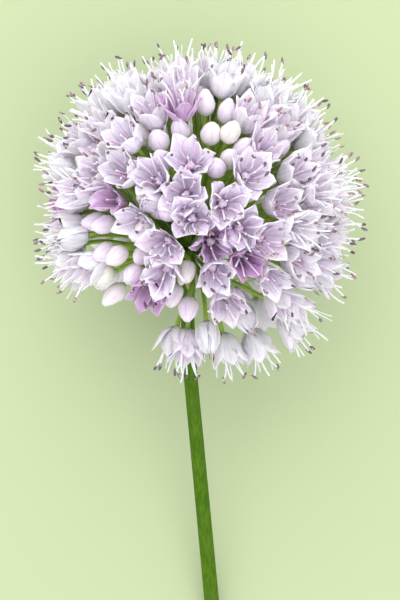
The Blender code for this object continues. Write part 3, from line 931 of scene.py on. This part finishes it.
# Painted shade in the creases of the lilac florets, following the crumple relief.
colour = tepal_paint.mixed(crumple.between(0.45, 0.7) * (1 - lit_pallor) * 0.35, colour, TEPAL_CREASE_SHADE)
colour = tepal_paint.mixed(side_veins * unlit_share * 0.12, colour, TEPAL_VEIN)
colour = tepal_paint.mixed(flecks.between(0.55, 0.8) * unlit_share * 0.25, colour, TEPAL_FLECK)
colour = tepal_paint.mixed(margin_and_highlight * 0.85, colour, TEPAL_MARGIN_AND_HIGHLIGHT)
colour = tepal_paint.mixed(midvein * (1 - lit_pallor * 0.6) * 0.27, colour, TEPAL_MIDVEIN)
colour = tepal_paint.mixed((1 - tepal_v.between(0.0, 0.12)) * 0.5, colour, TEPAL_FOOT)
# Old florets darken to near black in the throat: partly their withered colour, partly painted shade in the
# cup.
old_colour = tepal_paint.mixed(throat_and_shade, *OLD_COLOURS_AND_THROAT_SHADE)
old_colour = tepal_paint.mixed(margin_and_highlight * 0.5, old_colour, OLD_MARGIN_AND_HIGHLIGHT)
colour = tepal_paint.mixed(age, colour, old_colour)
creases = crumple * 2.2 + side_veins * 0.4 + flecks * 0.4 - midvein * 0.8
tepal_relief = tepal_paint.relief(creases, depth=0.0001, strength=0.6)
tepal_paint.wears(Base_Color=colour, Roughness=0.42 + 0.18 * flecks, Normal=tepal_relief)

perianths = [model_perianth(number) for number in range(len(PERIANTHS))]
florets_draw = random.Random(31)
# The last of the three facts is the floret's painted paleness, which is mostly painted light.
florets = []  # of every open floret: cyme, place, perianth, and its age, hue and pallor
for cyme, form, neck, way, spin in PLACED:
    if form == "bud":
        continue
    if form == "any":
        old = OLD_CHANCE if way.z < OLD_BELOW else 0
        form = florets_draw.choices(OPEN_FORMS, (*OPEN_CHANCES, old))[0]
    number = florets_draw.choice(FORMS[form])
    # Painted light: paler round the rim and towards the crown, on the lamps' side, and less pale facing up,
    # plus a random difference.
    pale = PAINTED_LIGHT_PALLOR - PAINTED_LIGHT_LOST * max(0, way.z) ** 2 + PAINTED_LIGHT_GAINED * way.y
    pale += PALLOR_CHANCE * florets_draw.uniform(-1, 1)
    years = FRESH_AGE * florets_draw.random() ** 3
    if form == "old":
        years = florets_draw.uniform(*OLD_AGES)
    elif form.startswith("fading"):
        years = florets_draw.uniform(*FADING_AGES)
    facts = (years, florets_draw.random(), min(1, max(0, pale)))
    florets.append((cyme, standing(neck, way, spin), number, facts))

for cyme in range(CYMES):
    cups = [put(perianths[number], at, cyme, facts) for owner, at, number, facts in florets if owner == cyme]
    bunch = joined(cups, f"cyme_{cyme + 1:02d}_tepals")
    bunch.data.materials.append(tepal_paint.material)
    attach(bunch, "root")
    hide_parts(f"cyme_{cyme + 1:02d}")
discard(perianths)

# ---- Stamens
# Six to a floret: white threads rooted inside the cup, which reach past the tepals as the floret
# ages, each tipped with a small dark anther that pivots on its middle and drops off when spent.

STAMENS = 6
FILAMENT_ROOT = (0.00095, 0.0011)  # from the floret's axis and above its neck
FILAMENT_RADII = (0.00021, 0.00014)
FILAMENT_STEPS = 6
FILAMENT_TURN = 0.25  # radians, the most that one stands off its place in the ring
FILAMENT_BOW = (-0.0008, 0.0010)
FILAMENT_RISE = (0.0003, 0.4)  # of its lower handle: outwards, and up as a share of its reach
FILAMENT_END = (0.0008, 0.0018)  # of its upper handle: inwards and down
ANTHER_SWING = (0.1, 0.9)  # radians
STAMEN_RINGS = (  # reach above the neck, spread from the axis, unlikeness, anthers left on average, seed
    (0.0050, 0.0023, 0.0007, 6, 1),
    (0.0058, 0.0026, 0.0008, 5, 2),
    (0.0069, 0.0026, 0.0010, 3, 3),
    (0.0074, 0.0028, 0.0012, 1, 4),
    (0.0072, 0.0023, 0.0012, 2, 5),
)
YOUNG_RINGS, RIPE_RINGS = (0, 1), (2, 3, 4)
YOUNG_SHARE = 0.9  # of the florets that face up
GATHERED = Matrix.Diagonal((0.30, 0.30, 1.12, 1))  # inside a floret that is only opening
ANTHER_SIZE = (0.00050, 0.00050, 0.00135)
ANTHER_GROOVE = 0.7
ANTHER_MIDDLE = 1e-5  # points this close to its middle are in the groove
THREAD_COLOURS = (0.76, 0.60, 0.80), (0.92, 0.90, 0.93)
THREAD_FLECK = (0.72, 0.52, 0.74)
POD_COLOURS = (0.13, 0.08, 0.13), (0.34, 0.20, 0.24)
POD_POLLEN = (0.62, 0.52, 0.42)


def model_anther():
    """A small two-lobed pod, with its middle at the origin and its length up."""
    bpy.ops.mesh.primitive_uv_sphere_add(segments=6, ring_count=5, radius=0.5)
    anther = bpy.context.object
    edit()
    choose_all()
    scale(*ANTHER_SIZE)
    choose(lambda vertex: abs(vertex.co.y) < ANTHER_MIDDLE)
    scale(ANTHER_GROOVE, 1, 1)
    leave()
    bpy.ops.object.shade_smooth()
    return anther


def model_stamens(number, anther):
    """A ring of six filaments, and the anthers that are left on it, at least one."""
    reach, spread, unlike, left, seed = STAMEN_RINGS[number]
    draw = random.Random(100 + seed)
    filaments, anthers = [], []
    for index in range(STAMENS):
        astray = draw.uniform(-FILAMENT_TURN, FILAMENT_TURN)
        turn = Matrix.Rotation((index + 0.5) * math.tau / STAMENS + astray, 4, "Z")
        root = Vector((FILAMENT_ROOT[0], 0, FILAMENT_ROOT[1]))
        tip = Vector((spread + draw.uniform(-unlike, unlike), 0, reach + draw.uniform(-unlike, unlike)))
        bow = draw.uniform(*FILAMENT_BOW)
        rise = Vector((FILAMENT_RISE[0] + bow, bow / 2, FILAMENT_RISE[1] * reach))
        drop = Vector((FILAMENT_END[0] - bow, -bow / 2, FILAMENT_END[1]))
        stops = (
            (root, root, root + rise, FILAMENT_RADII[0]),
            (tip, tip - drop, tip, FILAMENT_RADII[1]),
        )
        thread = tube(stops, 0, FILAMENT_STEPS)
        bpy.ops.object.shade_smooth()
        thread.data.transform(turn)
        filaments.append(thread)
        swing = Matrix.Rotation(draw.uniform(0, math.tau), 4, "Z")
        swing @= Matrix.Rotation(draw.uniform(*ANTHER_SWING), 4, "X")
        last_chance = index == STAMENS - 1 and not anthers
        if index in draw.sample(range(STAMENS), left) or last_chance:
            pod = copy_of(anther)
            pod.data.transform(turn @ Matrix.Translation(tip) @ swing)
            anthers.append(pod)
    return joined(filaments, f"filaments_{number}"), joined(anthers, f"anthers_{number}")


thread_paint = Paint(
    "filament",
    Roughness=0.45,
    Specular_IOR_Level=0.35,
    Subsurface_Weight=0.4,
    Subsurface_Scale=0.0006,
)
thread_place = thread_paint.place()
from_middle = thread_paint.distance(thread_place, HEAD_CENTRE)
thread_grain = thread_paint.noise(thread_place, 800, 2)
thread_colour = thread_paint.mixed(from_middle.between(0.0220, 0.0266), *THREAD_COLOURS)
thread_colour = thread_paint.mixed(thread_grain.between(0.5, 0.8) * 0.35, thread_colour, THREAD_FLECK)
thread_paint.wears(Base_Color=thread_colour)

pod_paint = Paint("anther", Roughness=0.6)
pod_hue = pod_paint.part(pod_paint.told("floret", "Vector"), "Y")
pollen = pod_paint.noise(pod_paint.place(), 1900, 3)
pod_colour = pod_paint.mixed(pod_hue.between(0.35, 0.8), *POD_COLOURS)
pod_colour = pod_paint.mixed(pollen.between(0.52, 0.66), pod_colour, POD_POLLEN)
pod_paint.wears(Base_Color=pod_colour, Normal=pod_paint.relief(pollen, depth=0.00005, strength=0.5))

pod_master = model_anther()
rings = [model_stamens(number, pod_master) for number in range(len(STAMEN_RINGS))]
discard([pod_master])
stamens_draw = random.Random(47)
chosen_rings = []
for owner, at, number, facts in florets:
    upward = (at.to_3x3() @ Vector((0, 0, 1))).z
    young = number in FORMS["opening"] or stamens_draw.random() < YOUNG_SHARE * upward
    chosen_rings.append(stamens_draw.choice(YOUNG_RINGS if young else RIPE_RINGS))
for cyme in range(CYMES):
    threads, pods = [], []
    for (owner, at, number, facts), ring in zip(florets, chosen_rings):
        if owner != cyme or number in FORMS["old"]:
            continue
        if number in FORMS["opening"]:
            at = at @ GATHERED
        for master, bunch in zip(rings[ring], (threads, pods)):
            bunch.append(put(master, at, cyme, facts))
    threads = joined(threads, f"cyme_{cyme + 1:02d}_filaments")
    threads.data.materials.append(thread_paint.material)
    pods = joined(pods, f"cyme_{cyme + 1:02d}_anthers")
    pods.data.materials.append(pod_paint.material)
    for piece, slot in ((threads, "filament"), (pods, "anther")):
        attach(piece, "root")
        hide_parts(f"cyme_{cyme + 1:02d}")
for ring in rings:
    discard(ring)

# ---- Pistils
# In the bottom of each cup sits a three-lobed ovary, pale lilac and waxy, with one thin white style
# that grows from between its lobes.

OVARY_RADIUS = 0.00080
OVARY_SIZE = (1, 1, 0.95)
OVARY_LOBES = 3
LOBE_GROOVE = 0.72
GROOVE_WIDTH = 0.3
OVARY_HEIGHT = 0.0011  # of its middle above the floret's neck
STYLE_RADIUS = 0.00009
STYLE_LENGTH = 0.0034
STYLE_MIDDLE = OVARY_HEIGHT + STYLE_LENGTH / 2
STYLE_FLARE = 1.5
STYLE_LEAN = (0.0003, 0.0001, 0)
OVARY_COLOURS = (0.78, 0.70, 0.76), (0.74, 0.60, 0.78)
STYLE_WHITE = (0.90, 0.86, 0.90)

bpy.ops.mesh.primitive_uv_sphere_add(segments=12, ring_count=6, radius=OVARY_RADIUS)
ovary = bpy.context.object
edit()
choose(lambda vertex: abs(math.sin(OVARY_LOBES / 2 * math.atan2(vertex.co.y, vertex.co.x))) < GROOVE_WIDTH)
scale(LOBE_GROOVE, LOBE_GROOVE, 1)
choose_all()
scale(*OVARY_SIZE)
shift(0, 0, OVARY_HEIGHT)
leave()
bpy.ops.mesh.primitive_cylinder_add(vertices=6, radius=STYLE_RADIUS, depth=STYLE_LENGTH)
style = bpy.context.object
style.data.transform(Matrix.Translation((0, 0, STYLE_MIDDLE)))
edit()
choose(lambda vertex: vertex.co.z > STYLE_MIDDLE)
scale(STYLE_FLARE, STYLE_FLARE, 1)
shift(*STYLE_LEAN)
leave()
pistil = joined([ovary, style], "pistil")
bpy.ops.object.shade_smooth_by_angle(angle=math.radians(60))

ovary_paint = Paint("ovary", Roughness=0.35, Subsurface_Weight=0.2, Subsurface_Scale=0.0006)
ovary_place = ovary_paint.place()
from_ball = ovary_paint.distance(ovary_place, HEAD_CENTRE)
ovary_grain = ovary_paint.noise(ovary_place, 1500, 3)
ovary_colour = ovary_paint.mixed(ovary_grain.between(0.4, 0.7), *OVARY_COLOURS)
ovary_colour = ovary_paint.mixed(from_ball.between(0.0228, 0.0236), ovary_colour, STYLE_WHITE)
ovary_relief = ovary_paint.relief(ovary_grain, depth=0.00005, strength=0.4)
ovary_paint.wears(Base_Color=ovary_colour, Normal=ovary_relief)

for cyme in range(CYMES):
    centres = [put(pistil, at, cyme) for owner, at, number, facts in florets if owner == cyme]
    bunch = joined(centres, f"cyme_{cyme + 1:02d}_pistils")
    bunch.data.materials.append(ovary_paint.material)
    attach(bunch, "root")
    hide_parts(f"cyme_{cyme + 1:02d}")
discard([pistil])

# ---- Buds
# Unopened florets, smooth and plump, each wrapped in its six closed tepals, which show as shallow
# seams that run to a blunt tip. They are creamy to pale lilac, green at the neck.

BUD_RADIUS = 0.00172
BUD_SEGMENTS = 18
BUD_RINGS_UP = 10
BUD_FORMS = (  # length, girth, bend
    (1.0, 1.0, 0.0),
    (1.05, 0.94, 0.0002),
    (0.95, 1.05, -0.0002),
    (1.08, 0.90, 0.0003),
)
# Heights on a ball of diameter 1, and what happens there: it is narrowed to a share, or lifted
SEAMS_ABOVE, SEAM_DEPTH = -0.3, 0.93
SEAM_ANGLE = 60  # degrees
TIP_ABOVE, TIP_LIFT = (0.44, 0.49), 0.03
NECK_BELOW, NECK_WIDTH = -0.3, 0.86
SHOULDER_ABOVE, SHOULDER_WIDTH = 0.1, 0.93
BUD_BUMPS = 0.00004
BUD_COLOURS = (0.87, 0.87, 0.77), (0.84, 0.755, 0.865)
BUD_CLOUD = (0.86, 0.77, 0.84)
BUD_NECK = (0.66, 0.70, 0.40)
BUD_SEAM = (0.62, 0.42, 0.62)
BUD_TIP = (0.62, 0.40, 0.58)


def on_seam(vertex):
    """Whether two tepals meet here."""
    angle = round(math.degrees(math.atan2(vertex.co.y, vertex.co.x)))
    return angle % SEAM_ANGLE == 0 and vertex.co.z > SEAMS_ABOVE


def model_bud(number):
    """A closed floret, with its neck at the origin."""
    long, wide, bend = BUD_FORMS[number]
    bpy.ops.mesh.primitive_uv_sphere_add(segments=BUD_SEGMENTS, ring_count=BUD_RINGS_UP, radius=0.5)
    bud = bpy.context.object
    bud.name = f"bud_{number}"
    edit()
    choose(on_seam)
    scale(SEAM_DEPTH, SEAM_DEPTH, 1)
    for height in TIP_ABOVE:
        choose(lambda vertex: vertex.co.z > height)
        shift(0, 0, TIP_LIFT)
    choose(lambda vertex: vertex.co.z < NECK_BELOW)
    scale(NECK_WIDTH, NECK_WIDTH, 1)
    choose(lambda vertex: vertex.co.z > SHOULDER_ABOVE)
    scale(SHOULDER_WIDTH, SHOULDER_WIDTH, 1)
    shift(bend / BUD_LENGTH, 0, 0)
    choose_all()
    shift(0, 0, 0.5)
    scale(2 * BUD_RADIUS * wide, 2 * BUD_RADIUS * wide, BUD_LENGTH * long)
    bpy.ops.transform.vertex_random(offset=BUD_BUMPS, normal=1, seed=number)
    leave()
    bpy.ops.object.shade_smooth()
    return bud


bud_paint = Paint(
    "bud",
    Roughness=0.4,
    Specular_IOR_Level=0.35,
    Subsurface_Weight=0.4,
    Subsurface_Radius=(1.0, 0.8, 0.9),
    Subsurface_Scale=0.0012,
)
bud_map = bud_paint.node("UVMap", {}, {})
bud_u, bud_v = (bud_paint.part(bud_map, axis) for axis in "XY")
bud_hue = bud_paint.part(bud_paint.told("floret", "Vector"), "Y")
bud_cloud = bud_paint.noise(bud_paint.place(), 500, 3)
seams = (bud_u * (math.tau * 360 / SEAM_ANGLE) + math.pi / 2).wave().between(0.86, 1)
seams = seams * bud_v.between(0.3, 0.7)
bud_colour = bud_paint.mixed(bud_hue.between(0, 0.7), *BUD_COLOURS)
bud_colour = bud_paint.mixed(bud_cloud.between(0.45, 0.8) * 0.5, bud_colour, BUD_CLOUD)
bud_colour = bud_paint.mixed((1 - bud_v.between(0.0, 0.36)) * 0.8, bud_colour, BUD_NECK)
bud_colour = bud_paint.mixed(seams * 0.45, bud_colour, BUD_SEAM)
bud_colour = bud_paint.mixed(bud_v.between(0.88, 1) * 0.5, bud_colour, BUD_TIP)
bud_paint.wears(Base_Color=bud_colour, Normal=bud_paint.relief(1 - seams, depth=0.0001, strength=0.4))

bud_masters = [model_bud(number) for number in range(len(BUD_FORMS))]
buds_draw = random.Random(53)
for cyme in range(CYMES):
    buds = []
    for owner, form, neck, way, spin in PLACED:
        if owner != cyme or form != "bud":
            continue
        master = buds_draw.choice(bud_masters)
        facts = (0, buds_draw.random(), 0)
        buds.append(put(master, standing(neck, way, spin), cyme, facts))
    if not buds:
        continue
    bunch = joined(buds, f"cyme_{cyme + 1:02d}_buds")
    bunch.data.materials.append(bud_paint.material)
    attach(bunch, "root")
    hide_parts(f"cyme_{cyme + 1:02d}")
discard(bud_masters)
